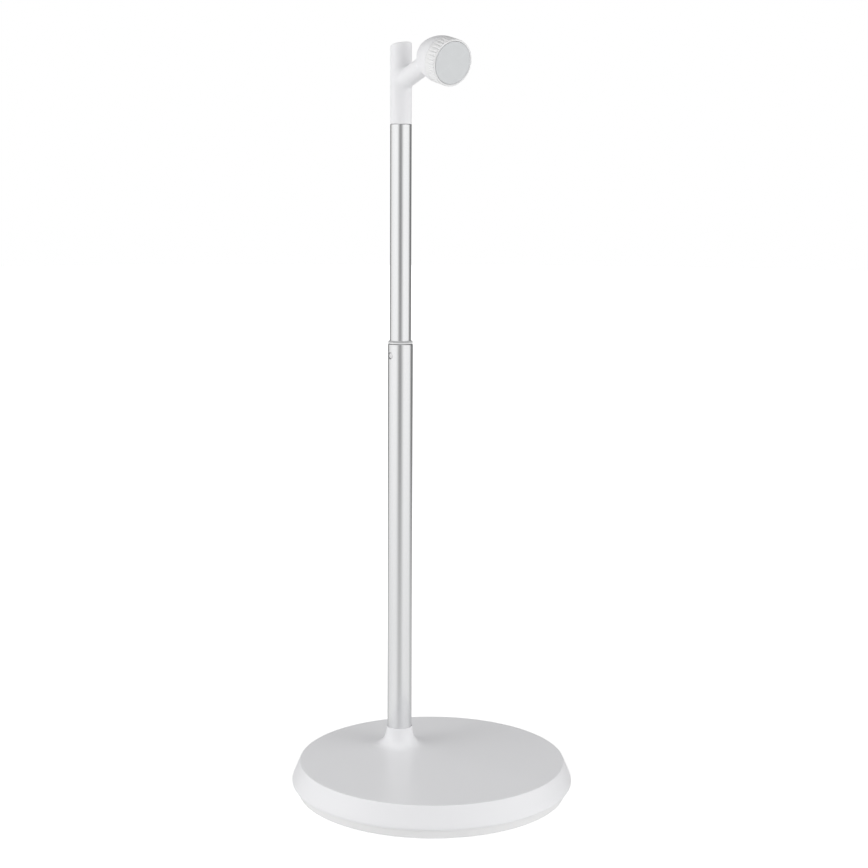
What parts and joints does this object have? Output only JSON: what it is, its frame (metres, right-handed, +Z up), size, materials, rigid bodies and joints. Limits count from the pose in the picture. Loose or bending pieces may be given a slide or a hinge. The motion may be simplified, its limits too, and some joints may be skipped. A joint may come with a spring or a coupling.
{
  "type": "customer display pole stand",
  "caption": "Free-standing telescopic pole stand: weighted round base, satin tube with snap button, branched white cap and a round head with ribbed ring and flat mounting face.",
  "frame": {"origin": "centre of the round base, on the floor", "axes": "+Z up along the pole; the head's face looks towards -Y; +X is on the right when looking along +Y, and the snap button is on the -X side"},
  "size_m": [0.2144, 0.2144, 0.5685],
  "materials": {
    "white_shell": "white moulded, satin on the top, finely textured on the flank",
    "tray_white": "white moulded, matt",
    "cap_white": "white moulded, fine matt grain",
    "satin_tube": "satin anodised, fine lengthwise grain",
    "ring_light": "light grey white, smooth",
    "button_bright": "bright plated",
    "face_grey": "pale grey, matt, very slightly cool",
    "ballast_iron": "as cast, black",
    "hardware_steel": "zinc plated",
    "spring_steel": "bright spring strip",
    "foot_rubber": "matt black",
    "guide_plastic": "dark grey, low friction",
    "magnet_nickel": "nickel plated"
  },
  "bodies": {
    "base": {"base_cover": "white_shell", "base_plate": "tray_white", "base_weight": "ballast_iron", "foot_ring": "foot_rubber", "base_screw_1": "hardware_steel", "base_screw_2": "hardware_steel", "base_screw_3": "hardware_steel", "base_screw_4": "hardware_steel", "pole_bolt": "hardware_steel", "pole_washer": "hardware_steel", "lock_washer": "hardware_steel", "pole_plug": "hardware_steel", "lower_tube": "satin_tube", "tube_end_ring": "ring_light"},
    "upper_pole": {"upper_tube": "satin_tube", "guide_bush": "guide_plastic", "snap_spring": "spring_steel", "branch_cap": "cap_white", "swivel_screw": "hardware_steel", "wave_washer": "spring_steel"},
    "button": {"snap_button": "button_bright"},
    "lock_ring": {"grip_ring": "cap_white"},
    "puck": {"face_disc": "face_grey", "puck_carrier": "guide_plastic", "magnet_cup": "hardware_steel", "magnet": "magnet_nickel"}
  },
  "joints": [
    {"name": "pole_slide", "type": "slide", "parent": "base", "child": "upper_pole", "axis": [0, 0, 1], "range_m": [-0.158, 0], "deforming": ["snap_button"]},
    {"name": "button_press", "type": "slide", "parent": "upper_pole", "child": "button", "axis": [1, 0, 0], "range_m": [0, 0.00158], "stiffness_N_per_m": 20, "springref_m": -0.0005, "deforming": ["snap_spring"]},
    {"name": "ring_turn", "type": "hinge", "parent": "upper_pole", "child": "lock_ring", "pos_m": [0, -0.0207, 0.5485], "axis": [0, -0.9732, -0.23], "range_deg": [-90, 0]},
    {"name": "face_swivel", "type": "hinge", "parent": "upper_pole", "child": "puck", "pos_m": [0, -0.0207, 0.5485], "axis": [0, -0.9732, -0.23], "continuous": true}
  ]
}
